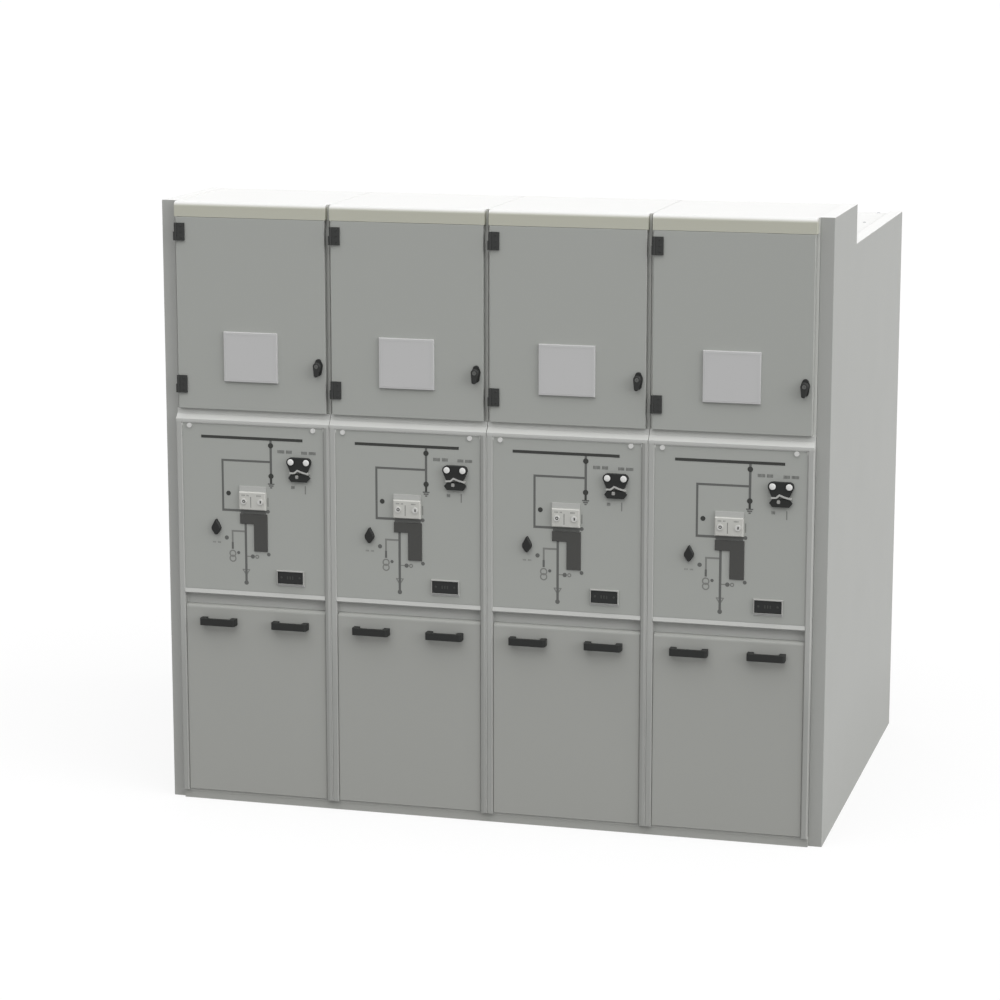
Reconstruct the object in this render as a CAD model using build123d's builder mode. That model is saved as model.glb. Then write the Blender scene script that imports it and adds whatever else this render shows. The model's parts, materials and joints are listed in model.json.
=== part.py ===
from build123d import *

import os

# Line-up of gas-insulated medium-voltage breaker panels, standing side by side between two end covers.
# Millimetres. +X runs along the line-up to the right, +Y to the back, +Z up.
# The origin is on the floor, under the centre of the whole line-up.

# ---- Overall sizes
panel_count = 4
panel_width = 600
end_cover_width = 50
depth = 1740
height = 2280
rear_height = 2135
tall_depth = 517
panel_seam = 2
sheet = 2

# ---- Base frame
base_height = 36
base_proud = 16
base_setback = 6
base_rail = 50
base_clearance = 0.3

# ---- Front levels, from the floor up
cover_top = 764
groove_top = 806
plate_bottom = 824
plate_top = 1459
cabinet_floor = 1502
door_bottom = 1510
door_top = 2222
header_bottom = 2223

# ---- How far the front pieces stand out from the front plane of the end covers
door_proud = 28
door_air = 5
plate_proud = 28
cover_proud = 26
post_proud = 33
lip_proud = 34
groove_proud = 8

# ---- Front posts and cross rails
post_outset = 1
post_width = 22
post_bevel = 3
seat_gap = 0.5
cowl_nose = 12
cowl_flare = 17
cowl_back = 13
cowl_rise = 6
lip_nose = 4
lip_bevel = 3

# ---- Low-voltage cabinet and header strip
cabinet_top_drop = 2
flange = 22
flange_top = 62
header_margin = 8
header_proud = 28
header_round = 16

# ---- Low-voltage door
door_margin = 12
door_lip = 15
door_edge_round = 2

# ---- Door hinges
hinge_height = 65
hinge_levels = (1601.5, 2167.5)
pin_inset = 2
wing_reach = 34
wing_thickness = 7
barrel_radius = 5.5
barrel_gap = 0.5
pin_radius = 3
pin_clearance = 0.05
lug_thickness = 3.5
lug_outset = 6
lug_cap = 4

# ---- Door handle
handle_inset = 26
handle_level = 1690
rosette_radius = 16
rosette_top = 13.5
rosette_top_radius = 11
rosette_foot = -26
rosette_foot_radius = 12
wing_radius = 14
wing_tip = (-3, -32.5)
wing_tip_radius = 8
rosette_thickness = 8
handle_reach = 30
handle_bevel = 3
shaft_radius = 8
shaft_clearance = 0.1
turn_gap = 0.3
nut_radius = 13
nut_thickness = 7

# ---- Display panel
display_width = 208
display_height = 185
display_bottom = 1618
display_thickness = 10
display_bevel = 1.5

# ---- Operator plate, cable cover and their fittings; places are from the panel's left edge
plate_bevel = 2.5
cover_bottom = 38
cover_round = 14
cover_bevel = 2.5
grip_places = (158.5, 441.5)
grip_level = 704
grip_length = 138
grip_height = 26
grip_reach = 38
grip_bar = 12
grip_foot = 22
grip_round = 9

cap_places = (52, 536.5)
cap_level = 1446.5
cap_radius = 9
cap_thickness = 5

box_left = 247
box_right = 351
box_bottom = 1138
box_top = 1206
box_thickness = 14
box_bevel = 3
box_hood_height = 20
box_hood_thickness = 6
button_spread = 32.5
button_level = 1171
button_radius = 11
button_stand = 4

slot_cover_top = 1121
slot_cover_arm = 38
slot_cover_bottom = 980
slot_cover_leg = 53
slot_cover_thickness = 5
slot_cover_bevel = 1.5

selector_centre = 483
selector_eye_spread = 30
selector_eye_level = 1327
selector_eye_radius = 16.5
selector_boss_radius = 13
selector_boss_height = 4
selector_jaw_spread = 34
selector_jaw_level = 1296
selector_jaw_radius = 7
selector_thickness = 16
slider_level = 1267
slider_width = 83
slider_height = 28
slider_point = 11
slider_thickness = 12

knob_place = (154, 1063)
knob_radius = 17.5
knob_tip = 33
knob_tip_radius = 3
knob_tail = 25
knob_tail_radius = 7
knob_thickness = 16
knob_bevel = 2.5

window_left = 390
window_bottom = 860
window_width = 107
window_height = 54
window_frame = 5
window_thickness = 9
window_recess = 3
window_bevel = 1.5

# ---- Roof and rear covers
roof_cover_thickness = 10
roof_cover_margin = 4
roof_drop = 5
roof_bevel = 4
rear_cover_thickness = 13
rear_cover_margin = 14
rear_split = 1070
rear_cover_gap = 10
rear_bevel = 5
rear_setback = 2
end_cover_round = 2.5

# ---- Values worked out from the ones above
line_half = panel_count * panel_width / 2
front_reach = max(cover_proud + grip_reach, door_proud + turn_gap + handle_reach)
front = (front_reach - depth) / 2
back = front + depth
cabinet_back = front + tall_depth - sheet
cabinet_top = height - cabinet_top_drop
housing_top = rear_height - roof_drop - roof_cover_thickness
housing_back = back - rear_setback - rear_cover_thickness
panel_lefts = [-line_half + n * panel_width for n in range(panel_count)]
panel_middles = [left + panel_width / 2 for left in panel_lefts]
body_width = panel_width - panel_seam
pin_proud = door_proud + barrel_radius + barrel_gap
pan_width = panel_width - 2 * (post_outset + post_width + seat_gap)


def facing(proud):
    """Plane parallel to the front, a given distance out from the end covers; extrusions run out from it."""
    return Plane.XZ.offset(proud - front)


def inner_face(side):
    """Plane of an end cover's panel side, where side is -1 for the left cover and 1 for the right one."""
    return Plane(origin=(side * line_half, 0, 0), x_dir=(0, side, 0), z_dir=(side, 0, 0))


def stepped_outline(side, inset):
    """Outline of an end cover seen from the side, drawn in by the inset: tall at the front, lower behind."""
    return [
        (side * (front + inset), inset),
        (side * (front + inset), height - inset),
        (side * (front + tall_depth - inset), height - inset),
        (side * (front + tall_depth - inset), rear_height - inset),
        (side * (back - inset), rear_height - inset),
        (side * (back - inset), inset),
    ]


os.makedirs("parts", exist_ok=True)

# ---- Base frame: two long rails and one cross rail under each panel edge
frame_half = line_half - base_clearance
frame_front = front - base_proud
frame_back = housing_back - base_setback
frame_middle = (frame_front + frame_back) / 2
frame_length = frame_back - frame_front
rail_pitch = (2 * frame_half - base_rail) / panel_count

with BuildPart() as base_frame:
    with BuildSketch(Plane.XY):
        with Locations((0, frame_front + base_rail / 2), (0, frame_back - base_rail / 2)):
            Rectangle(2 * frame_half, base_rail)
        with Locations((0, frame_middle)):
            with GridLocations(rail_pitch, 0, panel_count + 1, 1):
                Rectangle(base_rail, frame_length)
    extrude(amount=base_height)
base_frame.part.label = "base_frame"
export_step(base_frame.part, "parts/base_frame.step")

# ---- End covers: stepped sheet trays, open towards the panels
with BuildPart() as end_covers:
    for side in (-1, 1):
        with BuildSketch(inner_face(side)):
            with BuildLine():
                Polyline(*stepped_outline(side, 0), close=True)
            make_face()
        extrude(amount=end_cover_width)
    outer_faces = end_covers.faces().filter_by(Axis.X)
    outer_edges = ShapeList(outer_faces.sort_by(Axis.X)[0].edges() + outer_faces.sort_by(Axis.X)[-1].edges())
    fillet(outer_edges, radius=end_cover_round)
    for side in (-1, 1):
        with BuildSketch(inner_face(side)):
            with BuildLine():
                Polyline(*stepped_outline(side, sheet), close=True)
            make_face()
        extrude(amount=end_cover_width - sheet, mode=Mode.SUBTRACT)
end_covers.part.label = "end_covers"
export_step(end_covers.part, "parts/end_covers.step")

for number, left in enumerate(panel_lefts, 1):
    middle = left + panel_width / 2

    # ---- Switchgear housing: closed tank, mechanism and cable compartments behind the front plates
    with BuildPart() as switchgear_housing:
        with BuildSketch(Plane.YZ.offset(left + panel_seam / 2)):
            with BuildLine():
                Polyline(
                    (front, base_height),
                    (front, cabinet_floor),
                    (cabinet_back, cabinet_floor),
                    (cabinet_back, housing_top),
                    (housing_back, housing_top),
                    (housing_back, base_height),
                    close=True,
                )
            make_face()
        extrude(amount=body_width)
    switchgear_housing.part.label = f"switchgear_housing_{number}"
    export_step(switchgear_housing.part, f"parts/switchgear_housing_{number}.step")

    # ---- Low-voltage cabinet: sheet box with folded flanges round its mouth
    cabinet_middle = (cabinet_floor + cabinet_top) / 2
    cabinet_height = cabinet_top - cabinet_floor
    mouth_bottom = cabinet_floor + flange
    mouth_top = cabinet_top - flange_top

    with BuildPart() as lv_cabinet:
        with BuildSketch(facing(0)):
            with Locations((middle, cabinet_middle)):
                Rectangle(body_width, cabinet_height)
        extrude(amount=front - cabinet_back)
        with BuildSketch(facing(-sheet)):
            with Locations((middle, cabinet_middle)):
                Rectangle(body_width - 2 * sheet, cabinet_height - 2 * sheet)
        extrude(amount=front - cabinet_back + 2 * sheet, mode=Mode.SUBTRACT)
        with BuildSketch(facing(0)):
            with Locations((middle, (mouth_bottom + mouth_top) / 2)):
                Rectangle(body_width - 2 * flange, mouth_top - mouth_bottom)
        extrude(amount=-sheet, mode=Mode.SUBTRACT)
    lv_cabinet.part.label = f"lv_cabinet_{number}"
    export_step(lv_cabinet.part, f"parts/lv_cabinet_{number}.step")

    # ---- Low-voltage door: folded sheet pan with return lips and a hole for the handle's shaft
    door_middle = (door_bottom + door_top) / 2
    door_width = panel_width - 2 * door_margin
    door_height = door_top - door_bottom
    handle_x = left + panel_width - door_margin - handle_inset

    with BuildPart() as lv_door:
        with BuildSketch(facing(door_air)):
            with Locations((middle, door_middle)):
                Rectangle(door_width, door_height)
        extrude(amount=door_proud - door_air)
        fillet(lv_door.faces().sort_by(Axis.Y)[0].edges(), radius=door_edge_round)
        with BuildSketch(facing(door_air + sheet)):
            with Locations((middle, door_middle)):
                Rectangle(door_width - 2 * sheet, door_height - 2 * sheet)
        extrude(amount=door_proud - door_air - 2 * sheet, mode=Mode.SUBTRACT)
        with BuildSketch(facing(door_air)):
            with Locations((middle, door_middle)):
                Rectangle(door_width - 2 * door_lip, door_height - 2 * door_lip)
        extrude(amount=sheet, mode=Mode.SUBTRACT)
        with BuildSketch(facing(door_proud)):
            with Locations((handle_x, handle_level)):
                Circle(shaft_radius + shaft_clearance)
        extrude(amount=-sheet, mode=Mode.SUBTRACT)
    lv_door.part.label = f"lv_door_{number}"
    export_step(lv_door.part, f"parts/lv_door_{number}.step")

    # ---- Hinge wings on the door: a plate whose upper half carries the bored knuckle of a lift-off hinge
    pin_x = left + door_margin + pin_inset

    with BuildPart() as door_hinge_wings:
        for level in hinge_levels:
            with BuildSketch(Plane.XY.offset(level - hinge_height / 2)):
                with Locations((pin_x + wing_reach / 2, front - door_proud - wing_thickness / 2)):
                    Rectangle(wing_reach, wing_thickness)
                with Locations((pin_x, front - pin_proud)):
                    Circle(barrel_radius)
                    Circle(pin_radius + pin_clearance, mode=Mode.SUBTRACT)
            extrude(amount=hinge_height)
            with BuildSketch(Plane.XY.offset(level - hinge_height / 2)):
                with Locations((pin_x, front - pin_proud)):
                    Rectangle(2 * (barrel_radius + barrel_gap), 4 * barrel_radius)
            extrude(amount=(hinge_height + barrel_gap) / 2, mode=Mode.SUBTRACT)
    door_hinge_wings.part.label = f"door_hinge_wings_{number}"
    export_step(door_hinge_wings.part, f"parts/door_hinge_wings_{number}.step")

    # ---- Door handle: long rosette and narrower wing on a shaft, held by a nut behind the door's skin
    with BuildPart() as door_handle:
        with BuildSketch(facing(door_proud + turn_gap)):
            with Locations((handle_x, handle_level)):
                Circle(rosette_radius)
            with Locations((handle_x, handle_level + rosette_top)):
                Circle(rosette_top_radius)
            with Locations((handle_x, handle_level + rosette_foot)):
                Circle(rosette_foot_radius)
            make_hull()
        extrude(amount=rosette_thickness)
        with BuildSketch(facing(door_proud + turn_gap + rosette_thickness)):
            with Locations((handle_x, handle_level)):
                Circle(wing_radius)
            with Locations((handle_x + wing_tip[0], handle_level + wing_tip[1])):
                Circle(wing_tip_radius)
            make_hull()
        extrude(amount=handle_reach - rosette_thickness)
        chamfer(door_handle.faces().sort_by(Axis.Y)[0].edges(), length=handle_bevel)
        with BuildSketch(facing(door_proud + turn_gap)):
            with Locations((handle_x, handle_level)):
                Circle(shaft_radius)
        extrude(amount=-(turn_gap + sheet + turn_gap))
        with BuildSketch(facing(door_proud - sheet - turn_gap)):
            with Locations((handle_x, handle_level)):
                RegularPolygon(nut_radius, 6)
        extrude(amount=-nut_thickness)
    door_handle.part.label = f"door_handle_{number}"
    export_step(door_handle.part, f"parts/door_handle_{number}.step")

    # ---- Display panel, seated on the door
    with BuildPart() as display_panel:
        with BuildSketch(facing(door_proud)):
            with Locations((middle, display_bottom + display_height / 2)):
                Rectangle(display_width, display_height)
        extrude(amount=display_thickness)
        chamfer(display_panel.faces().sort_by(Axis.Y)[0].edges(), length=display_bevel)
    display_panel.part.label = f"display_panel_{number}"
    export_step(display_panel.part, f"parts/display_panel_{number}.step")

    # ---- Cable compartment cover: pan with a rounded upper edge and the others bevelled
    cover_middle = (cover_bottom + cover_top) / 2
    cover_height = cover_top - cover_bottom

    with BuildPart() as cable_cover:
        with BuildSketch(facing(0)):
            with Locations((middle, cover_middle)):
                Rectangle(pan_width, cover_height)
        extrude(amount=cover_proud)
        fillet(cable_cover.faces().sort_by(Axis.Y)[0].edges().sort_by(Axis.Z)[-1], radius=cover_round)
        chamfer(cable_cover.faces().sort_by(Axis.Y)[0].edges().sort_by(Axis.Z)[:-1], length=cover_bevel)
        offset(amount=-sheet, openings=cable_cover.faces().sort_by(Axis.Y)[-1])
    cable_cover.part.label = f"cable_cover_{number}"
    export_step(cable_cover.part, f"parts/cable_cover_{number}.step")

# ---- Header strips over the doors, flush with them: the upper edge is rounded into the roof
with BuildPart() as header_strips:
    for left in panel_lefts:
        with BuildSketch(Plane.YZ.offset(left + header_margin)):
            with BuildLine():
                Polyline(
                    (front, cabinet_top),
                    (front, header_bottom),
                    (front - header_proud, header_bottom),
                    (front - header_proud, cabinet_top - header_round),
                )
                RadiusArc(
                    (front - header_proud, cabinet_top - header_round),
                    (front - header_proud + header_round, cabinet_top),
                    header_round,
                )
                Line((front - header_proud + header_round, cabinet_top), (front, cabinet_top))
            make_face()
        extrude(amount=panel_width - 2 * header_margin)
header_strips.part.label = "header_strips"
export_step(header_strips.part, "parts/header_strips.step")

# ---- Hinge posts on the cabinets: a lug through the gap beside the door, the lower knuckle and the pin
with BuildPart() as hinge_posts:
    for left in panel_lefts:
        pin_x = left + door_margin + pin_inset
        lug_left = left + lug_outset
        for level in hinge_levels:
            with BuildSketch(Plane.XY.offset(level - hinge_height / 2)):
                with Locations((lug_left + lug_thickness / 2, front - pin_proud / 2)):
                    Rectangle(lug_thickness, pin_proud)
                with Locations(((lug_left + pin_x) / 2, front - pin_proud - lug_cap / 2)):
                    Rectangle(pin_x - lug_left, lug_cap)
                with Locations((pin_x, front - pin_proud)):
                    Circle(barrel_radius)
            extrude(amount=(hinge_height - barrel_gap) / 2)
            with BuildSketch(Plane.XY.offset(level - barrel_gap / 2)):
                with Locations((pin_x, front - pin_proud)):
                    Circle(pin_radius)
            extrude(amount=(hinge_height + barrel_gap) / 2)
hinge_posts.part.label = "hinge_posts"
export_step(hinge_posts.part, "parts/hinge_posts.step")

# ---- Front posts: bevelled uprights at both edges of each panel, below the low-voltage cabinets
with BuildPart() as front_posts:
    with BuildSketch(Plane.XY.offset(base_height)):
        for middle in panel_middles:
            with Locations((middle, front - post_proud / 2)):
                with GridLocations(panel_width - 2 * post_outset - post_width, 0, 2, 1):
                    Rectangle(post_width, post_proud)
    extrude(amount=plate_top - base_height)
    chamfer(front_posts.edges().filter_by(Axis.Z).group_by(Axis.Y)[0], length=post_bevel)
front_posts.part.label = "front_posts"
export_step(front_posts.part, "parts/front_posts.step")

# ---- Cross rails: a sloped cowl over each operator plate, and a lip with a groove under it
with BuildPart() as cross_rails:
    for left in panel_lefts:
        with BuildSketch(Plane.YZ.offset(left + post_outset)):
            with BuildLine():
                Polyline(
                    (front, plate_top),
                    (front - post_proud, plate_top),
                    (front - post_proud, plate_top + cowl_nose),
                    (front - post_proud + cowl_flare, plate_top + cowl_nose + cowl_flare),
                    (front - cowl_back, cabinet_floor + cowl_rise),
                    (front, cabinet_floor + cowl_rise),
                    close=True,
                )
            make_face()
        extrude(amount=panel_width - 2 * post_outset)
        with BuildSketch(Plane.YZ.offset(left + post_outset + post_width)):
            with BuildLine():
                Polyline(
                    (front, cover_top + seat_gap),
                    (front - groove_proud, cover_top + seat_gap),
                    (front - groove_proud, groove_top),
                    (front - lip_proud + lip_bevel, groove_top),
                    (front - lip_proud, groove_top + lip_nose),
                    (front - plate_proud, plate_bottom),
                    (front, plate_bottom),
                    close=True,
                )
            make_face()
        extrude(amount=panel_width - 2 * (post_outset + post_width))
cross_rails.part.label = "cross_rails"
export_step(cross_rails.part, "parts/cross_rails.step")

# ---- Operator plates: bevelled pans that carry the controls
with BuildPart() as operator_plates:
    plate_low = plate_bottom + seat_gap
    plate_high = plate_top - seat_gap
    for middle in panel_middles:
        with BuildSketch(facing(0)):
            with Locations((middle, (plate_low + plate_high) / 2)):
                Rectangle(pan_width, plate_high - plate_low)
        extrude(amount=plate_proud)
    face_edges = operator_plates.faces().filter_by(Axis.Y).group_by(Axis.Y)[0].edges()
    chamfer(face_edges, length=plate_bevel)
    offset(amount=-sheet, openings=operator_plates.faces().filter_by(Axis.Y).group_by(Axis.Y)[-1])
operator_plates.part.label = "operator_plates"
export_step(operator_plates.part, "parts/operator_plates.step")

# ---- Bow grips on the cable covers
with BuildPart() as cover_grips:
    for left in panel_lefts:
        for place in grip_places:
            grip_x = left + place
            with BuildSketch(Plane.XY.offset(grip_level - grip_height / 2)):
                with Locations((grip_x, front - cover_proud - grip_reach / 2)):
                    Rectangle(grip_length, grip_reach)
                with Locations((grip_x, front - cover_proud - (grip_reach - grip_bar) / 2)):
                    Rectangle(grip_length - 2 * grip_foot, grip_reach - grip_bar, mode=Mode.SUBTRACT)
            extrude(amount=grip_height)
    corner_edges = cover_grips.edges().filter_by(Axis.Z).group_by(Axis.Y)[0]
    fillet(corner_edges, radius=grip_round)
cover_grips.part.label = "cover_grips"
export_step(cover_grips.part, "parts/cover_grips.step")

# ---- Round white caps at the operator plates' upper corners
with BuildPart() as plate_caps:
    with BuildSketch(facing(plate_proud)):
        for left in panel_lefts:
            for place in cap_places:
                with Locations((left + place, cap_level)):
                    Circle(cap_radius)
    extrude(amount=cap_thickness)
plate_caps.part.label = "plate_caps"
export_step(plate_caps.part, "parts/plate_caps.step")

# ---- Breaker button boxes: a bevelled housing with a shallow hood over it
box_middle = (box_left + box_right) / 2
box_width = box_right - box_left

with BuildPart() as button_boxes:
    with BuildSketch(facing(plate_proud)):
        for left in panel_lefts:
            with Locations((left + box_middle, (box_bottom + box_top) / 2)):
                Rectangle(box_width, box_top - box_bottom)
    extrude(amount=box_thickness)
    chamfer(button_boxes.faces().filter_by(Axis.Y).group_by(Axis.Y)[0].edges(), length=box_bevel)
    with BuildSketch(facing(plate_proud)):
        for left in panel_lefts:
            with Locations((left + box_middle, box_top + box_hood_height / 2)):
                Rectangle(box_width, box_hood_height)
    extrude(amount=box_hood_thickness)
button_boxes.part.label = "button_boxes"
export_step(button_boxes.part, "parts/button_boxes.step")

# ---- Push buttons, standing out of the box's face
with BuildPart() as push_buttons:
    with BuildSketch(facing(plate_proud + box_thickness)):
        for left in panel_lefts:
            with Locations((left + box_middle, button_level)):
                with GridLocations(2 * button_spread, 0, 2, 1):
                    Circle(button_radius)
    extrude(amount=button_stand)
push_buttons.part.label = "push_buttons"
export_step(push_buttons.part, "parts/push_buttons.step")

# ---- L-shaped covers over the spring-charging lever's slot
with BuildPart() as lever_slot_covers:
    for left in panel_lefts:
        right = left + box_right + 3
        with BuildSketch(facing(plate_proud)):
            with BuildLine():
                Polyline(
                    (left + box_left, slot_cover_top),
                    (right, slot_cover_top),
                    (right, slot_cover_bottom),
                    (right - slot_cover_leg, slot_cover_bottom),
                    (right - slot_cover_leg, slot_cover_top - slot_cover_arm),
                    (left + box_left, slot_cover_top - slot_cover_arm),
                    close=True,
                )
            make_face()
        extrude(amount=slot_cover_thickness)
    chamfer(lever_slot_covers.faces().filter_by(Axis.Y).group_by(Axis.Y)[0].edges(), length=slot_cover_bevel)
lever_slot_covers.part.label = "lever_slot_covers"
export_step(lever_slot_covers.part, "parts/lever_slot_covers.step")

# ---- Three-position switch selectors: a body with two round bosses, and a slider under it
with BuildPart() as selector_switches:
    for left in panel_lefts:
        selector_x = left + selector_centre
        with BuildSketch(facing(plate_proud)):
            with Locations((selector_x, selector_eye_level)):
                with GridLocations(2 * selector_eye_spread, 0, 2, 1):
                    Circle(selector_eye_radius)
            with Locations((selector_x, selector_jaw_level)):
                with GridLocations(2 * (selector_jaw_spread - selector_jaw_radius), 0, 2, 1):
                    Circle(selector_jaw_radius)
            make_hull()
        extrude(amount=selector_thickness)
    with BuildSketch(facing(plate_proud + selector_thickness)):
        for left in panel_lefts:
            with Locations((left + selector_centre, selector_eye_level)):
                with GridLocations(2 * selector_eye_spread, 0, 2, 1):
                    Circle(selector_boss_radius)
    extrude(amount=selector_boss_height)
    with BuildSketch(facing(plate_proud)):
        for left in panel_lefts:
            with Locations((left + selector_centre, slider_level)):
                Polygon(
                    (slider_width / 2, 0),
                    (slider_width / 2 - slider_point, slider_height / 2),
                    (-slider_width / 2 + slider_point, slider_height / 2),
                    (-slider_width / 2, 0),
                    (-slider_width / 2 + slider_point, -slider_height / 2),
                    (slider_width / 2 - slider_point, -slider_height / 2),
                )
    extrude(amount=slider_thickness)
selector_switches.part.label = "selector_switches"
export_step(selector_switches.part, "parts/selector_switches.step")

# ---- Drop-shaped knobs of the lever sockets
with BuildPart() as socket_knobs:
    for left in panel_lefts:
        knob_x = left + knob_place[0]
        with BuildSketch(facing(plate_proud)):
            with Locations((knob_x, knob_place[1])):
                Circle(knob_radius)
            with Locations((knob_x, knob_place[1] + knob_tip - knob_tip_radius)):
                Circle(knob_tip_radius)
            with Locations((knob_x, knob_place[1] - knob_tail + knob_tail_radius)):
                Circle(knob_tail_radius)
            make_hull()
        extrude(amount=knob_thickness)
    chamfer(socket_knobs.faces().filter_by(Axis.Y).group_by(Axis.Y)[0].edges(), length=knob_bevel)
socket_knobs.part.label = "socket_knobs"
export_step(socket_knobs.part, "parts/socket_knobs.step")

# ---- Indicator windows: a bevelled frame round a recessed dark pane
with BuildPart() as indicator_windows:
    window_x = window_left + window_width / 2
    window_z = window_bottom + window_height / 2
    with BuildSketch(facing(plate_proud)):
        for left in panel_lefts:
            with Locations((left + window_x, window_z)):
                Rectangle(window_width, window_height)
    extrude(amount=window_thickness)
    chamfer(indicator_windows.faces().filter_by(Axis.Y).group_by(Axis.Y)[0].edges(), length=window_bevel)
    with BuildSketch(facing(plate_proud + window_thickness)):
        for left in panel_lefts:
            with Locations((left + window_x, window_z)):
                Rectangle(window_width - 2 * window_frame, window_height - 2 * window_frame)
    extrude(amount=-window_recess, mode=Mode.SUBTRACT)
indicator_windows.part.label = "indicator_windows"
export_step(indicator_windows.part, "parts/indicator_windows.step")

# ---- Roof covers, behind the low-voltage cabinets
with BuildPart() as roof_covers:
    roof_front = cabinet_back + roof_cover_margin
    roof_back = housing_back - roof_cover_margin
    with BuildSketch(Plane.XY.offset(housing_top)):
        for middle in panel_middles:
            with Locations((middle, (roof_front + roof_back) / 2)):
                Rectangle(panel_width - 2 * roof_cover_margin, roof_back - roof_front)
    extrude(amount=roof_cover_thickness)
    chamfer(roof_covers.faces().filter_by(Axis.Z).group_by(Axis.Z)[-1].edges(), length=roof_bevel)
roof_covers.part.label = "roof_covers"
export_step(roof_covers.part, "parts/roof_covers.step")

# ---- Rear covers, one upper and one lower on each panel
with BuildPart() as rear_covers:
    lower_bottom = base_height + rear_cover_margin
    upper_top = housing_top - rear_cover_margin
    rear_levels = (
        (lower_bottom, rear_split - rear_cover_gap / 2),
        (rear_split + rear_cover_gap / 2, upper_top),
    )
    with BuildSketch(Plane.XZ.offset(-housing_back - rear_cover_thickness)):
        for middle in panel_middles:
            for low, high in rear_levels:
                with Locations((middle, (low + high) / 2)):
                    Rectangle(panel_width - 2 * rear_cover_margin, high - low)
    extrude(amount=rear_cover_thickness)
    chamfer(rear_covers.faces().filter_by(Axis.Y).group_by(Axis.Y)[-1].edges(), length=rear_bevel)
rear_covers.part.label = "rear_covers"
export_step(rear_covers.part, "parts/rear_covers.step")
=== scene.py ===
import itertools
import json
import math

import bpy
import numpy as np
from mathutils import Matrix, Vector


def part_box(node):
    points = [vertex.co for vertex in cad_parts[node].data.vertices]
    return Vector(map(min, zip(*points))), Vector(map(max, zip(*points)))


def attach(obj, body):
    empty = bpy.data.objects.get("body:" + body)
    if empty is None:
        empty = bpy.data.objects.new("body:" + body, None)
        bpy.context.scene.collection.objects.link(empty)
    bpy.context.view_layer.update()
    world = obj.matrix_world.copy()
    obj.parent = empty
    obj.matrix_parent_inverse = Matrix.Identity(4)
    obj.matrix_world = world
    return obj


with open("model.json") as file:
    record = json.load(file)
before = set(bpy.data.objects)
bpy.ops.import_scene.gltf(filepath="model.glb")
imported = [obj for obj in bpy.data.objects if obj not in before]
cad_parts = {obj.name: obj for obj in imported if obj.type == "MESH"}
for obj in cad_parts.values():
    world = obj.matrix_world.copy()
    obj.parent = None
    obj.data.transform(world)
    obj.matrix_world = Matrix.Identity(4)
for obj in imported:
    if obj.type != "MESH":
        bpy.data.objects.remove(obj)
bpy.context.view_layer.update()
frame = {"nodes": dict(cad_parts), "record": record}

# Looks of a line-up of gas-insulated breaker panels. Metres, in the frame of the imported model: +X runs along
# the line-up to the right, +Y to the back and +Z up, with the origin on the floor in the middle.
mm = 0.001
panels = range(1, 5)


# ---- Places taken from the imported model

def low(node):
    """Lowest corner of a node's box."""
    return np.array(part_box(node)[0])


def high(node):
    """Highest corner of a node's box."""
    return np.array(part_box(node)[1])


def middle(node):
    """Middle of a node's box."""
    return (low(node) + high(node)) / 2


panel_width = float(middle("lv_door_2")[0] - middle("lv_door_1")[0])
panel_left = {n: float(middle(f"lv_door_{n}")[0]) - panel_width / 2 for n in panels}
cabinet_top = high("lv_cabinet_1")[2]
cover_top = high("cable_cover_1")[2]
plate_top = high("operator_plates")[2]
base_top = low("front_posts")[2]


class Seat:
    """A flat face that pieces sit on: a point on it, and the directions right and up along it. Out is the
    direction away from it."""

    def __init__(self, origin, right, up):
        self.origin, self.right, self.up = (np.array(v, float) for v in (origin, right, up))
        self.out = np.cross(self.right, self.up)

    def place(self, across, along, rise):
        """Points so far to the right, up and out of the seat. The three arrays broadcast together."""
        steps = (across, self.right), (along, self.up), (rise, self.out)
        return self.origin + sum(amount[..., None] * way for amount, way in steps)

    def raised(self, rise):
        """The same seat, moved out."""
        return Seat(self.origin + rise * self.out, self.right, self.up)


def front_seat(node, panel):
    """Seat on the front of a node, measured from the panel's left edge and from the floor."""
    return Seat((panel_left[panel], low(node)[1], 0), (1, 0, 0), (0, 0, 1))


# ---- Surfaces

def shell(points, closed=False):
    """Faces of a stack of closed loops, points[loop, corner]. Each four-sided face joins neighbouring corners
    of neighbouring loops. An open stack is capped at both ends, a closed one joins its last loop to its
    first."""
    loops, corners = points.shape[:2]
    index = np.arange(loops * corners).reshape(loops, corners)
    lower, upper = (index, np.roll(index, -1, 0)) if closed else (index[:-1], index[1:])
    quads = np.stack([lower, np.roll(lower, -1, 1), np.roll(upper, -1, 1), upper], -1).reshape(-1, 4)
    caps = [] if closed else [np.stack([index[0, ::-1], index[-1]])]
    return points.reshape(-1, 3), [quads, *caps]


def moulding(seat, centre, size, corner, profile, steps=6, closed=False):
    """A profile of (drawn in, rise) pairs carried round a rounded rectangle. At the angle a, a loop's point
    is the corner circle's centre plus its radius times (cos a, sin a). The centre changes sides with the
    signs of cos a and sin a, which draws the straight stretches between the corners."""
    drawn_in, rise = np.array(profile, float).T[..., None]
    angle = (np.arange(4 * steps) + 0.5) * math.tau / (4 * steps)
    least_radius = 0.01 * mm
    radius = np.maximum(corner - drawn_in, least_radius)
    across = np.sign(np.cos(angle)) * (size[0] / 2 - drawn_in - radius) + radius * np.cos(angle)
    along = np.sign(np.sin(angle)) * (size[1] / 2 - drawn_in - radius) + radius * np.sin(angle)
    return shell(seat.place(centre[0] + across, centre[1] + along, rise), closed)


def slab(seat, centre, size, corner, height, edge=0.0):
    """A rounded rectangle of some height, its upper edge bevelled."""
    return moulding(seat, centre, size, corner, ((0, 0), (0, height - edge), (edge, height)))


def disc(seat, centre, radius, profile, steps=8):
    """A profile carried round a circle."""
    return moulding(seat, centre, (2 * radius, 2 * radius), radius, profile, steps=steps)


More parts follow.
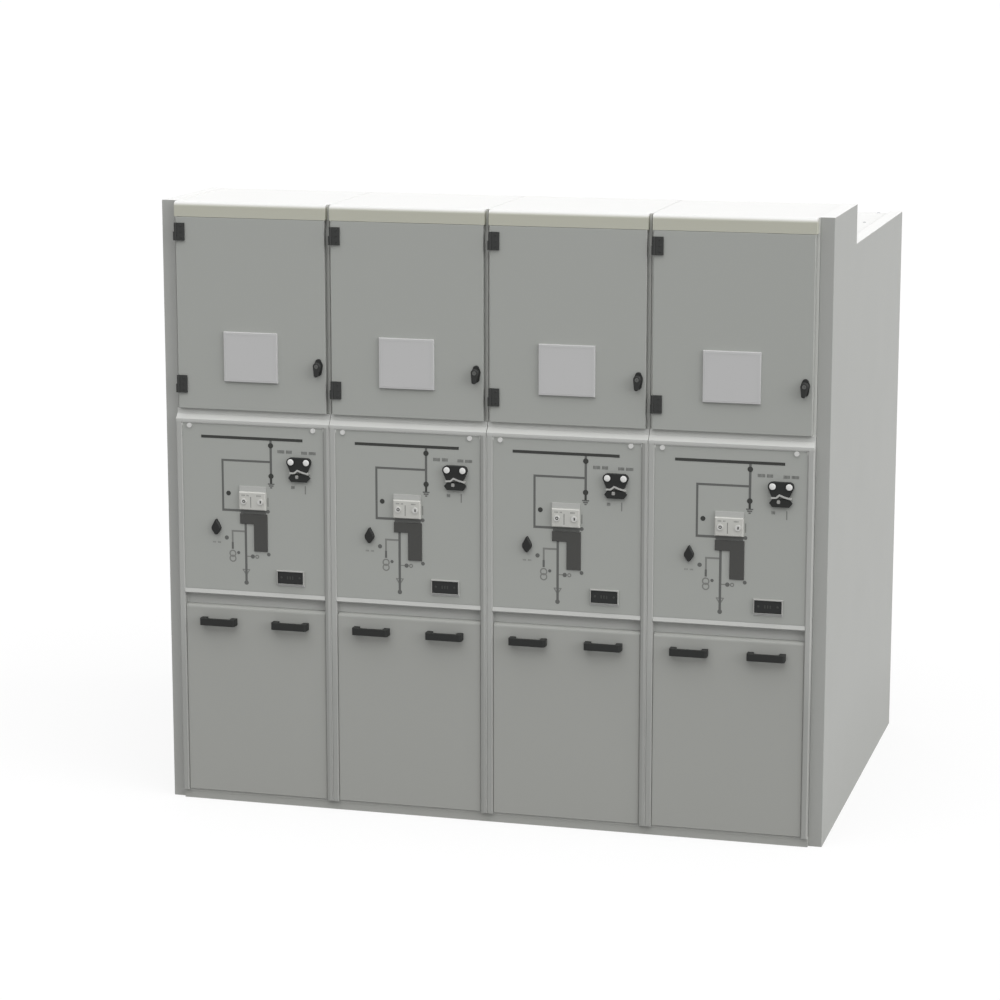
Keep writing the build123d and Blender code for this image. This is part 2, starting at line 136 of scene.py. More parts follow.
def rim(seat, centre, size, corner, width, height):
    """A closed rim: a rectangular section carried round a rounded rectangle."""
    section = ((0, 0), (0, height), (width, height), (width, 0))
    return moulding(seat, centre, size, corner, section, closed=True)


def band(seat, path, width, height):
    """A rectangular section carried along a path of straight runs, mitred where they meet. A corner's mitre
    points along the sum of the two runs' normals, and is as long as half the width over the cosine of half
    the turn."""
    path = np.array(path, float)
    run = np.diff(path, axis=0)
    normal = np.stack([-run[:, 1], run[:, 0]], -1) / np.hypot(*run.T)[:, None]
    before, after = np.vstack([normal[:1], normal]), np.vstack([normal, normal[-1:]])
    mitre = (before + after) / (1 + (before * after).sum(-1, keepdims=True))
    left, right = path + width / 2 * mitre, path - width / 2 * mitre
    section = np.stack([left, left, right, right], 1)
    return shell(seat.place(section[..., 0], section[..., 1], np.array([0, height, height, 0])))


def domed(radius, height, steps=5):
    """Profile of a low dome on an upright edge. Over a quarter turn t, it is drawn in by the reach times
    1 - cos t, and rises above the edge with sin t."""
    edge = 0.4 * height
    reach = 0.96 * radius
    t = np.linspace(0, math.pi / 2, steps)
    drawn_in = np.append(0, reach * (1 - np.cos(t)))
    rise = np.append(0, edge + (height - edge) * np.sin(t))
    return np.stack([drawn_in, rise], -1)


def screw(seat, centre, radius):
    """Button-head screw: a sloping rim round a sunk socket."""
    height = 0.55 * radius
    edge = 0.35 * height
    slope = (0, edge), (0.22 * radius, 0.85 * height), (0.5 * radius, height)
    socket = 0.56 * radius, edge
    return disc(seat, centre, radius, ((0, 0), *slope, socket), steps=3)


def piece(name, shells, finish, body):
    """Joins shells into one piece, with its place in its mesh, and seats it on its body."""
    points = np.concatenate([s[0] for s in shells])
    starts = np.cumsum([0] + [len(s[0]) for s in shells])
    faces = [row for start, s in zip(starts, shells) for block in s[1] for row in (block + start).tolist()]
    mesh = bpy.data.meshes.new(name)
    mesh.from_pydata(points.tolist(), [], faces)
    mesh.polygons.foreach_set("use_smooth", np.ones(len(faces), bool))
    mesh.set_sharp_from_angle(angle=math.radians(35))
    mesh.materials.append(finish)
    made = bpy.data.objects.new(name, mesh)
    bpy.context.scene.collection.objects.link(made)
    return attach(made, body)


# ---- Materials

class Wire:
    """A socket of a node tree. Arithmetic between wires and numbers adds the Math nodes that work it out."""

    def __init__(self, tree, socket):
        self.tree, self.socket = tree, socket

    def __add__(self, other):
        return self.tree.maths("ADD", self, other)

    def __sub__(self, other):
        return self.tree.maths("SUBTRACT", self, other)

    def __rsub__(self, other):
        return self.tree.maths("SUBTRACT", other, self)

    def __mul__(self, other):
        return self.tree.maths("MULTIPLY", self, other)

    def __truediv__(self, other):
        return self.tree.maths("DIVIDE", self, other)

    def __gt__(self, other):
        return self.tree.maths("GREATER_THAN", self, other)

    def __lt__(self, other):
        return self.tree.maths("LESS_THAN", self, other)

    def __abs__(self):
        return self.tree.maths("ABSOLUTE", self)

    def fraction(self):
        return self.tree.maths("FRACT", self)

    __radd__, __rmul__ = __add__, __mul__


class Tree:
    """A node tree and the few steps that it is built with."""

    def __init__(self, nodes):
        self.nodes, self.links = nodes.nodes, nodes.links

    def node(self, kind, settings=None, values=None, output=0):
        """Adds a node: its settings first, then a number, colour or wire for each socket."""
        made = self.nodes.new(kind)
        for key, setting in (settings or {}).items():
            setattr(made, key, setting)
        self.feed(made, values or {})
        return Wire(self, made.outputs[output])

    def feed(self, node, values):
        """Gives a node's sockets their numbers, colours or wires."""
        for key, value in values.items():
            if isinstance(value, Wire):
                self.links.new(value.socket, node.inputs[key])
            else:
                node.inputs[key].default_value = value

    def maths(self, operation, first, second=0.0):
        """Adds a Math node."""
        return self.node("ShaderNodeMath", {"operation": operation}, {0: first, 1: second})

    def seen(self):
        """1 for rays that show a surface itself, straight, mirrored or through glass, and 0 for those that
        light it."""
        straight, mirrored, through = (
            self.node("ShaderNodeLightPath", output=f"Is {kind} Ray")
            for kind in ("Camera", "Glossy", "Transmission")
        )
        return self.maths("MAXIMUM", straight, self.maths("MAXIMUM", mirrored, through))


class Finish(Tree):
    """A material, with its surface shader."""

    def __init__(self, name):
        self.material = bpy.data.materials.new(name)
        self.material.use_nodes = True
        super().__init__(self.material.node_tree)
        self.surface = self.nodes["Principled BSDF"]

    def coat(self, **values):
        """Feeds the surface shader. A name's underscores stand for spaces."""
        self.feed(self.surface, {key.replace("_", " "): value for key, value in values.items()})
        return self.material

    def place(self):
        """The point on the object, in metres."""
        return self.node("ShaderNodeTexCoord", output="Object")

    def axis(self, letter):
        """One coordinate of the point on the object."""
        return self.node("ShaderNodeSeparateXYZ", values={0: self.place()}, output=letter)

    def across(self):
        """Distance of the point from the left edge of its panel, in metres."""
        return panel_width * ((self.axis("X") - panel_left[1]) / panel_width).fraction()

    def facing_up(self):
        """1 on faces that look up, 0 on the others."""
        facing = self.node("ShaderNodeNewGeometry", output="True Normal")
        return self.node("ShaderNodeSeparateXYZ", values={0: facing}, output="Z") > 0.7

    def ramp(self, letter, start, end):
        """Rises smoothly from 0 to 1 between two values of a coordinate."""
        return self.node(
            "ShaderNodeMapRange", {"interpolation_type": "SMOOTHSTEP"},
            {"Value": self.axis(letter), "From Min": start, "From Max": end},
        )

    def noise(self, per_metre, detail):
        """Noise from 0 to 1 with so many features to the metre."""
        values = {"Vector": self.place(), "Scale": per_metre, "Detail": detail}
        return self.node("ShaderNodeTexNoise", values=values)

    def tint(self, amount, first, second):
        """The first colour where the amount is 0, the second where it is 1."""
        return self.node("ShaderNodeMix", {"data_type": "RGBA"}, {0: amount, 6: first, 7: second}, output=2)

    def relief(self, height, depth):
        """A bump of the given depth in metres for the shader's Normal."""
        return self.node("ShaderNodeBump", values={"Height": height, "Distance": depth, "Strength": 1.0})


def paint(red, green, blue, shade=1.0):
    """A colour given as it looks on a screen, from 0 to 255, in the linear values that the nodes use."""
    shown = np.array([red, green, blue]) / 255
    linear = np.where(shown <= 0.04045, shown / 12.92, ((shown + 0.055) / 1.055) ** 2.4)
    return (*(shade * linear), 1.0)


roof_white = (221, 221, 220)
dust_brown = (156, 152, 143)


def powder_coat(name, colour, rough=0.46, gloss_level=0.35, upper=None, right=None, shade_strip=None, top=None):
    """Satin powder coat on sheet steel: a fine orange peel, faint clouding and a little dust low down.
    Other shades take over in places, most of them painted light and shade:
    upper (shade, level, fade) from that level up, after changing to it over the fade below,
    right (shade) little by little towards the right end of the line-up, painted light and shade,
    shade_strip (shade, start, end), a painted shade between two distances from a panel's left edge,
    on all panels but the last,
    top (shade) on faces that look up, a painted highlight."""
    f = Finish(name)
    clouding = f.noise(2.3, 3.0)
    peel = f.noise(1400, 1.0)
    fine_grain = f.noise(5200, 0.0)
    dust_height = 450 * mm
    dust = 1 - f.ramp("Z", 0, dust_height)
    clean = f.tint(clouding, paint(*colour, shade=0.985), paint(*colour, shade=1.02))
    if upper:
        shade, level, fade = upper
        clean = f.tint(f.ramp("Z", level - fade, level), clean, paint(*shade))
    # Painted light and shade: lighter at the left end of the line-up, darker towards its right end.
    if right:
        clean = f.tint(f.ramp("X", low("end_covers")[0], high("end_covers")[0]), clean, paint(*right))
    # Painted shade: a darker strip between two distances from a panel's left edge, on all panels but the last.
    if shade_strip:
        shade, start, end = shade_strip
        painted_shade = (f.across() > start) * (f.across() < end) * (f.axis("X") < panel_left[4])
        clean = f.tint(painted_shade, clean, paint(*shade))
    # Painted highlight: faces that look up are painted in the top shade.
    if top:
        clean = f.tint(f.facing_up(), clean, paint(*top))
    return f.coat(
        Base_Color=f.tint(0.08 * dust * f.noise(9, 4.0), clean, paint(*dust_brown)),
        Roughness=rough + 0.10 * clouding + 0.05 * fine_grain + 0.08 * dust,
        Normal=f.relief(peel + 0.25 * fine_grain, 0.06 * mm),
        Specular_IOR_Level=gloss_level,
    )


def moulded_plastic(name, colour, rough, grain_depth=0.04 * mm, gloss_level=0.35, metal=0.0):
    """Injection-moulded plastic: a spark-eroded grain, and a slight change of gloss across the part. With
    metal it is a plated part with the same grain."""
    f = Finish(name)
    grain = f.noise(2600, 2.0)
    gloss = f.noise(14, 2.0)
    return f.coat(
        Base_Color=f.tint(grain, paint(*colour, shade=0.93), paint(*colour, shade=1.06)),
        Roughness=rough + 0.12 * gloss - 0.05 * grain,
        Normal=f.relief(grain, grain_depth),
        Specular_IOR_Level=gloss_level,
        Metallic=metal,
    )


def hammered_black(name, colour):
    """Black-coated die casting: coarse hammer texture with the coat a little thin on its high spots."""
    f = Finish(name)
    dents = {"Vector": f.place(), "Scale": 620.0, "Smoothness": 0.8}
    hammer = f.node("ShaderNodeTexVoronoi", {"feature": "SMOOTH_F1"}, dents)
    return f.coat(
        Base_Color=f.tint(hammer, paint(*colour, shade=1.2), paint(*colour, shade=0.85)),
        Roughness=0.42 + 0.2 * f.noise(60, 2.0),
        Normal=f.relief(1 - hammer, 0.12 * mm),
        Specular_IOR_Level=0.25,
    )


def box_finish():
    """Cream housing of the breaker buttons under a hood in a greyer shade, told apart by height."""
    f = Finish("box_cream")
    hood_height = 20 * mm
    hood = f.axis("Z") > high("button_boxes")[2] - hood_height
    grain = f.noise(2200, 2.0)
    return f.coat(
        Base_Color=f.tint(hood, paint(192, 192, 187), paint(178, 179, 176)),
        Roughness=0.4 + 0.1 * grain,
        Normal=f.relief(grain, 0.02 * mm),
    )


def header_finish():
    """Header strips: a cream band, with a painted highlight in roof white where the strip turns back."""
    f = Finish("header_cream")
    grain = f.noise(1800, 2.0)
    top = high("header_strips")[2]
    # Painted highlight: the strip is painted roof white where it turns back at the top.
    bend_highlight = f.ramp("Z", top - 17 * mm, top - 2 * mm)
    return f.coat(
        Base_Color=f.tint(bend_highlight, paint(188, 188, 175), paint(*roof_white)),
        Roughness=0.55 + 0.1 * grain,
        Normal=f.relief(grain, 0.02 * mm),
        Specular_IOR_Level=0.25,
    )


def window_span():
    """Left and right side of an indicator window, from its panel's left edge."""
    left = low("indicator_windows")[0] - panel_left[1]
    right = high("indicator_windows")[0] - panel_left[4]
    return left, right


def window_finish():
    """Indicator windows: a pale frame, and inside it the black pane."""
    f = Finish("window_black")
    border = 4 * mm
    left, right = window_span()
    bottom, top = low("indicator_windows")[2], high("indicator_windows")[2]
    beside = abs(f.across() - (left + right) / 2)
    above = abs(f.axis("Z") - (bottom + top) / 2)
    pane = (beside < (right - left) / 2 - border) * (above < (top - bottom) / 2 - border)
    return f.coat(
        Base_Color=f.tint(pane, paint(166, 166, 163), paint(36, 37, 37)),
        Roughness=0.42 - 0.2 * pane + 0.06 * f.noise(1800, 1.0),
        Specular_IOR_Level=0.25,
    )


polished = 0.01 * mm         # depth of the grain on smooth plastic and print

panel_grey = powder_coat("panel_grey", (162, 163, 159), upper=((165, 167, 163), cover_top + 60 * mm, 40 * mm))
cover_grey = powder_coat("cover_grey", (164, 165, 162))
# Painted highlight: the cabinet's top face is painted roof white, lighter than its front and sides.
cabinet_grey = powder_coat(
    "cabinet_grey", (202, 203, 199), rough=0.6, gloss_level=0.15, upper=(roof_white, cabinet_top, 1 * mm)
)
# Painted shade: the posts darken towards the floor, and a strip near each panel's right edge but the last.
post_grey = powder_coat(
    "post_grey", (157, 158, 155),
    upper=((171, 172, 169), cover_top + 60 * mm, 400 * mm), shade_strip=((148, 149, 146), 576 * mm, 589 * mm),
)
# Painted light: the rails are painted lighter from just above the operator plates up, over the cowl.
rail_grey = powder_coat("rail_grey", (179, 180, 177), upper=((191, 192, 189), plate_top + 12 * mm, 12 * mm))
# Painted light: the seal is painted nearly white at its top, in the shade under the cowl.
seal_grey = powder_coat("seal_grey", (157, 158, 155), upper=((224, 225, 222), plate_top - 6 * mm, 14 * mm))
# Painted light: paler than the posts, so the shaded joints between panels show light.
joint_grey = powder_coat("joint_grey", (186, 187, 184))
housing_grey = powder_coat("housing_grey", (176, 177, 174))
# Painted light and shade: lighter at the left end than the right, and a painted highlight in roof white on
# faces that look up.
end_grey = powder_coat("end_grey", (171, 172, 169), right=(163, 164, 161), top=roof_white)
roof_grey = powder_coat("roof_grey", roof_white, rough=0.6, gloss_level=0.15)
# Painted light: the base is painted lighter near its top, in the shade under the covers.
base_steel = powder_coat(
    "base_steel", (169, 170, 166), rough=0.55, upper=((204, 205, 201), base_top, 11 * mm)
)
slot_cover_dark = powder_coat("slot_cover_dark", (66, 66, 64), rough=0.5)
hinge_black = hammered_black("hinge_black", (52, 53, 52))
handle_black = moulded_plastic("handle_black", (44, 45, 44), 0.4, gloss_level=0.22)
grip_black = moulded_plastic("grip_black", (40, 41, 40), 0.45, gloss_level=0.2)
control_black = moulded_plastic("control_black", (38, 39, 38), 0.4, gloss_level=0.2)
display_grey = moulded_plastic("display_grey", (192, 192, 192), 0.3, polished)
cap_white = moulded_plastic("cap_white", (212, 212, 210), 0.3, polished)
eye_white = moulded_plastic("eye_white", (228, 228, 226), 0.3, polished)
gate_grey = moulded_plastic("gate_grey", (180, 180, 177), 0.35, polished)
mark_grey = moulded_plastic("mark_grey", (158, 158, 155), 0.35, polished)
button_white = moulded_plastic("button_white", (204, 204, 201), 0.3, polished)
print_dark = moulded_plastic("print_dark", (64, 65, 63), 0.55, polished, gloss_level=0.15)
print_mid = moulded_plastic("print_mid", (104, 105, 103), 0.55, polished, gloss_level=0.15)
print_pale = moulded_plastic("print_pale", (130, 131, 128), 0.55, polished, gloss_level=0.15)
rubber = moulded_plastic("rubber", (34, 34, 34), 0.62, 0.06 * mm)
zinc = moulded_plastic("zinc", (172, 174, 176), 0.34, 0.02 * mm, metal=0.9)

by_slot = {
    "panel_grey": panel_grey, "cover_grey": cover_grey, "frame_grey": post_grey,
    "housing_grey": housing_grey, "roof_grey": roof_grey, "base_steel": base_steel,
    "header_cream": header_finish(), "hinge_black": hinge_black, "handle_black": handle_black,
    "grip_black": grip_black, "display_grey": display_grey, "cap_white": cap_white,
    "box_cream": box_finish(), "button_white": button_white, "slot_cover_dark": slot_cover_dark,
    "control_black": control_black, "window_black": window_finish(),
}
by_node = {f"lv_cabinet_{n}": cabinet_grey for n in panels}
by_node |= {"cross_rails": rail_grey, "end_covers": end_grey}
for row in frame["record"]["subparts"]:
    cad_part = frame["nodes"][row["node"]]
    cad_part.data.materials.clear()
    cad_part.data.materials.append(by_node.get(row["node"], by_slot[row["material_slot"]]))


# ---- Print, in millimetres: across from the panel's left edge, and up from the floor

class Sheet:
    """Printing on a seat. Each shape is a film a little thicker than the last, so that no two share a
    plane."""

    def __init__(self, seat):
        self.seat = seat
        self.films = ((0.2 + 0.012 * step) * mm for step in itertools.count())

    def line(self, width, *path):
        return band(self.seat, np.array(path) * mm, width * mm, next(self.films))

    def dot(self, across, level, radius):
        return disc(self.seat, (across * mm, level * mm), radius * mm, ((0, 0), (0, next(self.films))))

    def ring(self, across, level, radius, width):
        size = 2 * radius * mm, 2 * radius * mm
        return rim(self.seat, (across * mm, level * mm), size, radius * mm, width * mm, next(self.films))

    def caption(self, level, start, words, height):
        """Upright bars that stand for a caption and spell nothing. Words are their numbers of letters."""
        pitch = 4.6
        gap = 1.3 * pitch
        word = np.concatenate([np.full(count, number) for number, count in enumerate(words)])
        spots = start + pitch * np.arange(len(word)) + gap * word
        return [self.line(2.4, (spot, level - height / 2), (spot, level + height / 2)) for spot in spots]


def mimic(panel):
    """One-line diagram. The feeder comes down from the bus bar to its earth sign, and a bypass leaves it for
    the left. Further down, the outgoing cable passes the transformer's branch and a tap to its arrow."""
    bus_bar, feeder, feeder_foot, earth = 1407, 370.5, 1268, 1238
    bypass, bypass_top, bypass_foot = 180, 1321, 1132
    outgoing, cable_foot, arrow = 267.5, 858, 908
    transformer, branch, coil_top, tap = 215, 1053, 1010, 959
    beside_lever = 357
    sheet = Sheet(front_seat("operator_plates", panel))
    pale = [
        sheet.line(7, (outgoing, branch), (transformer, branch), (transformer, coil_top)),
        sheet.line(4, (outgoing, tap), (290, tap)),
        sheet.ring(transformer, 967, 14, 5),
        sheet.ring(transformer, 948, 14, 5),
        sheet.ring(311, tap, 8, 4.5),
        sheet.line(4.5, (outgoing - 13, arrow), (outgoing, arrow - 21), (outgoing + 13, arrow)),
        sheet.line(4, (outgoing - 15, arrow), (outgoing + 15, arrow)),
        sheet.line(4, (beside_lever, 1186), (beside_lever, 1152)),
        sheet.line(4.5, (504, 1238), (504, 1206)),
        *sheet.caption(1007, 138, (3, 3), 6),
    ]
    mid = [
        sheet.line(9, (feeder, bus_bar), (feeder, feeder_foot)),
        sheet.line(8, (bypass, bypass_foot), (bypass, bypass_top), (feeder, bypass_top)),
        sheet.line(9, (bypass - 4, bypass_foot), (358, bypass_foot)),
        sheet.line(9, (249, 1126), (349, 1126)),
        sheet.line(9, (outgoing, 1092), (outgoing, cable_foot)),
        sheet.line(8, (transformer, coil_top), (transformer, 984)),
        sheet.line(5, (feeder - 13, earth), (feeder + 13, earth)),
        sheet.line(5, (feeder - 9, earth - 7), (feeder + 9, earth - 7)),
        sheet.line(5, (feeder - 4, earth - 14), (feeder + 4, earth - 14)),
        sheet.dot(outgoing, cable_foot, 8.5),
        sheet.dot(294, tap, 8),
        sheet.dot(192, 1026, 8),
        sheet.dot(beside_lever, 1133, 7),
        sheet.dot(beside_lever, 970, 7),
        sheet.dot(238, 971, 6),
        *sheet.caption(1362, 399, (6, 5), 12),
        *sheet.caption(1361, 492, (5, 6), 11),
        *sheet.caption(1230, 451, (3,), 11),
    ]
    dark = [
        sheet.line(10.5, (98, bus_bar), (495, bus_bar)),
        sheet.dot(feeder, 1383, 10),
        sheet.dot(feeder, feeder_foot, 10),
        sheet.dot(202, 1196, 9),
        sheet.line(8, (feeder, feeder_foot), (feeder, earth + 2)),
    ]
    inks = ("dark", dark, print_dark), ("mid", mid, print_mid), ("pale", pale, print_pale)
    for shade, shapes, ink in inks:
        piece(f"mimic_{shade}_{panel}", shapes, ink, "switchboard")


def button_marks(panel):
    """Opening and closing signs on the push buttons, a ring and a bar, with the line between the two buttons
    and their captions on the box."""
    level = middle("push_buttons")[2] / mm
    open_sign, close_sign, between = 268, 333, 294
    buttons = Sheet(front_seat("push_buttons", panel))
    signs = [
        buttons.ring(open_sign, level, 6, 3.2),
        buttons.line(5, (close_sign, level - 5), (close_sign, level + 5)),
    ]
    box = Sheet(front_seat("button_boxes", panel))
    legend = [
        box.line(3, (between, 1148), (between, 1188)),
        *box.caption(1193, 260, (3, 2), 5),
        *box.caption(1193, 318, (4,), 5),
    ]
    piece(f"button_signs_{panel}", signs, print_dark, "switchboard")
    piece(f"button_legend_{panel}", legend, print_pale, "switchboard")


# ---- Joints between the sheet parts

def plate_seal(panel):
    """Grey sealing strip in the joint round an operator plate. Its top, in the shade under the cowl, is
    painted nearly white: a painted light.
    """
    seat = front_seat("operator_plates", panel).raised(-2.5 * mm)
    bottom, top = low("operator_plates")[2], high("operator_plates")[2]
    overlap = 0.6 * mm
    plate_margin = 23 * mm
    size = panel_width - 2 * (plate_margin - overlap), top - bottom + 2 * overlap
    centre = panel_width / 2, (bottom + top) / 2
    strip = rim(seat, centre, size, corner=1 * mm, width=3.6 * mm, height=2.6 * mm)
    piece(f"plate_seal_{panel}", [strip], seal_grey, "switchboard")


def joint_strip(panel):
    """Grey strip that fills the joint between a panel's frame and its left neighbour's. It is paler than the
    posts, a painted light in the joint's shade.
    """
    seat = front_seat("front_posts", panel).raised(-6 * mm)
    strip = band(seat, ((0, base_top), (0, plate_top)), width=2.4 * mm, height=4.8 * mm)
    piece(f"joint_strip_{panel}", [strip], joint_grey, "switchboard")


def roof_strips():
    """White strips over the joints between the outer cabinets' tops and the end covers, level with these."""
    seat = Seat((0, 0, cabinet_top - 1 * mm), (1, 0, 0), (0, 1, 0))
    start, end = low("lv_cabinet_1")[1], high("lv_cabinet_1")[1]
    width = 6 * mm
    spots = panel_left[1] + width / 2, panel_left[4] + panel_width - width / 2
    strips = [band(seat, ((spot, start), (spot, end)), width, height=2.9 * mm) for spot in spots]
    piece("roof_strips", strips, roof_grey, "switchboard")


# ---- Details of the operator plates

def selector_trim(panel):
    """White caps on the selector's two bosses, the pale gate between its halves and the slider's mark."""
    boss = front_seat("selector_switches", panel)
    radius = 11.6 * mm
    centres = ((x * mm, 1328 * mm) for x in (454.4, 514.4))
    caps = [disc(boss, centre, radius, domed(radius, height=2.5 * mm)) for centre in centres]
    plate = front_seat("operator_plates", panel)
    gate_path = np.array(((448, 1286), (467, 1287), (479, 1297), (495, 1291), (521, 1284))) * mm
    gate = band(plate, gate_path, width=6.5 * mm, height=16.6 * mm)
    slider = plate.raised(12 * mm)
    size = 12 * mm, 13 * mm
    mark = slab(slider, (475.5 * mm, 1272 * mm), size, corner=4 * mm, height=1 * mm, edge=0.3 * mm)
    piece(f"selector_caps_{panel}", caps, eye_white, "switchboard")
    piece(f"selector_gate_{panel}", [gate], gate_grey, "switchboard")
    piece(f"selector_mark_{panel}", [mark], mark_grey, "switchboard")


def window_details(panel):
    """Two sockets and a row of segments behind the indicator's pane, and the sill under its frame, which is
    painted pale as a painted light on the shade there.
    """
    pane = front_seat("indicator_windows", panel).raised(-3 * mm)
    level = 887 * mm
    radius = 4.5 * mm
    sockets = [disc(pane, (x * mm, level), radius, domed(radius, height=1.2 * mm)) for x in (408, 478)]
    size = 5.5 * mm, 12 * mm
    segments = [slab(pane, (x * mm, level), size, corner=1 * mm, height=0.6 * mm) for x in (432, 442, 452)]
    piece(f"window_details_{panel}", sockets + segments, print_dark, "switchboard")
    left, right = window_span()
    centre = (left + right) / 2, low("indicator_windows")[2] - 2.5 * mm
    plate = front_seat("operator_plates", panel)
    # Painted light: a pale strip where the window's shade falls on the plate.
    sill = slab(plate, centre, (right - left, 7 * mm), corner=1.5 * mm, height=2.5 * mm, edge=0.8 * mm)
    piece(f"window_sill_{panel}", [sill], display_grey, "switchboard")


# ---- Details of the low-voltage doors and cabinets

def display_trim(panel):
    """Bezel line of the display, a little inside its edge."""
    node = f"display_panel_{panel}"
    inset = 7 * mm
    size = (high(node) - low(node))[[0, 2]] - 2 * inset
    centre = middle(node)[0] - panel_left[panel], middle(node)[2]
    bezel = rim(front_seat(node, panel), centre, size, corner=3 * mm, width=2.5 * mm, height=0.5 * mm)
    piece(f"display_bezel_{panel}", [bezel], display_grey, f"door_{panel}")


def handle_axis(panel):
    """Where the handle turns, from the panel's left edge and the floor."""
    joint = next(j for j in frame["record"]["behaviour"]["joints"] if j["child"] == f"handle_{panel}")
    return joint["pos_m"][0] - panel_left[panel], joint["pos_m"][2]


def handle_lock(panel):
    """Lock cylinder in the handle's wing: a bright ring and a barrel with its key slot. Their pale colour is
    partly the lock's own colour and partly a painted highlight in the handle's middle.
    """
    seat = front_seat(f"door_handle_{panel}", panel)
    centre = handle_axis(panel)
    face = 1.1 * mm
    ring = rim(seat, centre, (15 * mm, 15 * mm), corner=7.5 * mm, width=2 * mm, height=1.2 * mm)
    barrel = disc(seat, centre, 5.2 * mm, ((0, 0), (0, 0.8 * mm), (0.4 * mm, face)))
    slot = slab(seat.raised(face), centre, (1.6 * mm, 6 * mm), corner=0.4 * mm, height=0.15 * mm)
    # The ring and barrel are pale partly as a painted highlight in the middle of the handle.
    piece(f"handle_lock_{panel}", [ring, barrel], print_mid, f"handle_{panel}")
    piece(f"handle_keyhole_{panel}", [slot], rubber, f"handle_{panel}")


def hinge_screws(panel):
    """Three screws in each hinge wing."""
    node = f"door_hinge_wings_{panel}"
    wing_thickness, half_height = 7 * mm, 32.5 * mm
    from_edge, pitch = 12 * mm, 21 * mm
    seat = front_seat(f"lv_door_{panel}", panel).raised(wing_thickness)
    across = high(node)[0] - panel_left[panel] - from_edge
    levels = low(node)[2] + half_height, high(node)[2] - half_height
    spots = [(across, level + step) for level in levels for step in (-pitch, 0, pitch)]
    heads = [screw(seat, spot, 3.6 * mm) for spot in spots]
    piece(f"hinge_screws_{panel}", heads, hinge_black, f"door_{panel}")


def mouth_gasket(panel):
    """Rubber seal round the mouth of the low-voltage cabinet, seen when its door is open."""
    node = f"lv_cabinet_{panel}"
    seat = front_seat(node, panel)
    side, top_side, seam, overlap = 22 * mm, 62 * mm, 1 * mm, 4 * mm
    bottom, top = low(node)[2] + side - overlap, high(node)[2] - top_side + overlap
    size = panel_width - 2 * (seam + side - overlap), top - bottom
    centre = panel_width / 2, (bottom + top) / 2
    width, height, edge, slope = 7 * mm, 4 * mm, 2.6 * mm, 1.5 * mm
    section = (0, 0), (0, edge), (slope, height), (width - slope, height), (width, edge), (width, 0)
    shape = moulding(seat, centre, size, 14 * mm, section, closed=True)
    piece(f"mouth_gasket_{panel}", [shape], rubber, "switchboard")


# ---- Rear and roof

def cover_screws():
    """Screw heads round the rear covers and on the roof covers."""
    sunk = 1.5 * mm
    rear = Seat((0, high("rear_covers")[1], 0), (-1, 0, 0), (0, 0, 1)).raised(-sunk)
    roof = Seat((0, 0, high("roof_covers")[2]), (1, 0, 0), (0, 1, 0))
    radius = 6 * mm
    inset = 26 * mm
    cover_margin = 14 * mm
    split, half_gap = 1070 * mm, 5 * mm
    bottom, top = low("rear_covers")[2], high("rear_covers")[2]
    front, back = low("roof_covers")[1], high("roof_covers")[1]
    spans = (bottom, split - half_gap), (split + half_gap, top)
    levels = [level for start, end in spans for level in np.linspace(start + inset, end - inset, 4)]
    depths = np.linspace(front + inset, back - inset, 4)
    from_side = cover_margin + inset
    columns = [panel_left[n] + x for n in panels for x in (from_side, panel_width - from_side)]
    heads = [screw(rear, (-x, z), radius) for x in columns for z in levels]
    heads += [screw(roof, (x, y), radius) for x in columns for y in depths]
    piece("cover_screws", heads, zinc, "switchboard")


for panel in panels:
    plate_seal(panel)
    mimic(panel)
    button_marks(panel)
    selector_trim(panel)
    window_details(panel)
    display_trim(panel)
    handle_lock(panel)
    hinge_screws(panel)
    mouth_gasket(panel)
for panel in panels[1:]:
    joint_strip(panel)
roof_strips()
cover_screws()


# ---- Camera

camera = bpy.data.objects.new("camera", bpy.data.cameras.new("camera"))
camera.data.lens = 107.97
camera.data.sensor_width = 36
camera.data.clip_end = 500
camera_place = Matrix.Translation((2.8629, -11.1846, 3.3407))
turned_left, tilted_down = 0.2661, 0.1954
aim = Matrix.Rotation(turned_left, 4, "Z") @ Matrix.Rotation(math.pi / 2 - tilted_down, 4, "X")
camera.matrix_world = camera_place @ aim
bpy.context.scene.collection.objects.link(camera)
bpy.context.scene.camera = camera


# ---- Light and floor

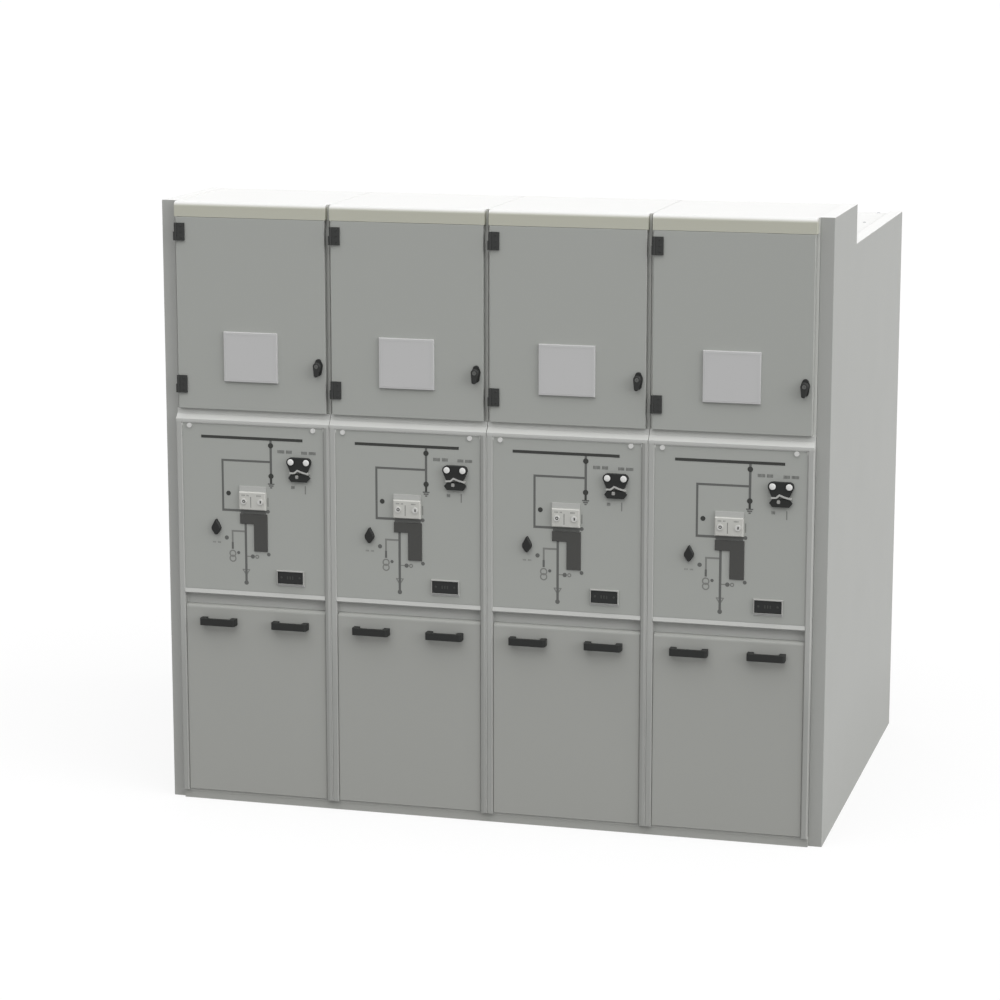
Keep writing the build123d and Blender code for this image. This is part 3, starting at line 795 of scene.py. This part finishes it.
def soft_sun(name, towards, share, spread, mirrored=True):
    """A wide, far lamp that shines in a direction. A face square to it gets the share of its colour's
    brightness. The spread is in degrees. A lamp that is not mirrored leaves no glint."""
    lamp = bpy.data.lights.new(name, "SUN")
    lamp.energy = share * math.pi
    lamp.angle = math.radians(spread)
    sun = bpy.data.objects.new(name, lamp)
    way = np.array(towards, float) / np.linalg.norm(towards)
    sun.rotation_euler = (math.acos(-way[2]), 0, math.atan2(-way[0], way[1]))
    sun.visible_glossy = mirrored
    bpy.context.scene.collection.objects.link(sun)


soft_sun("light_from_above", towards=(-0.05, 0.4, -1), share=0.68, spread=75)
soft_sun("light_from_right", towards=(-1, 0.2, -0.25), share=0.66, spread=60)
soft_sun("light_from_behind", towards=(0.5, -1, -0.05), share=0.34, spread=60, mirrored=False)

# The world looks white, and lights the object with less than half of that.
world = bpy.data.worlds.new("studio")
world.use_nodes = True
bpy.context.scene.world = world
studio = Tree(world.node_tree)
ambient = 0.45
strength = ambient + (1 - ambient) * studio.seen()
studio.feed(studio.nodes["Background"], {"Color": (1, 1, 1, 1), "Strength": strength})

# The floor lights the object as a mid grey. Seen, it glows almost white, and a little diffuse shading on top
# of the glow keeps the object's shadow.
reach = 150
floor_mesh = bpy.data.meshes.new("floor")
floor_corners = [(-reach, -reach, 0), (reach, -reach, 0), (reach, reach, 0), (-reach, reach, 0)]
floor_mesh.from_pydata(floor_corners, [], [(0, 1, 2, 3)])
floor = bpy.data.objects.new("floor", floor_mesh)
bpy.context.scene.collection.objects.link(floor)

ground = Finish("floor_white")
floor_mesh.materials.append(
    ground.coat(Base_Color=paint(138, 138, 138), Roughness=0.9, Specular_IOR_Level=0.0)
)
lit = Wire(ground, ground.surface.outputs[0])
glow = ground.node("ShaderNodeEmission", values={"Color": (1, 1, 1, 1), "Strength": 0.80})
shading = ground.node("ShaderNodeBsdfDiffuse", values={"Color": (0.17, 0.17, 0.17, 1)})
backdrop = ground.node("ShaderNodeAddShader", values={0: glow, 1: shading})
shown = ground.node("ShaderNodeMixShader", values={0: ground.seen(), 1: lit, 2: backdrop})
ground.feed(ground.nodes["Material Output"], {"Surface": shown})

bpy.context.scene.view_settings.view_transform = "Standard"
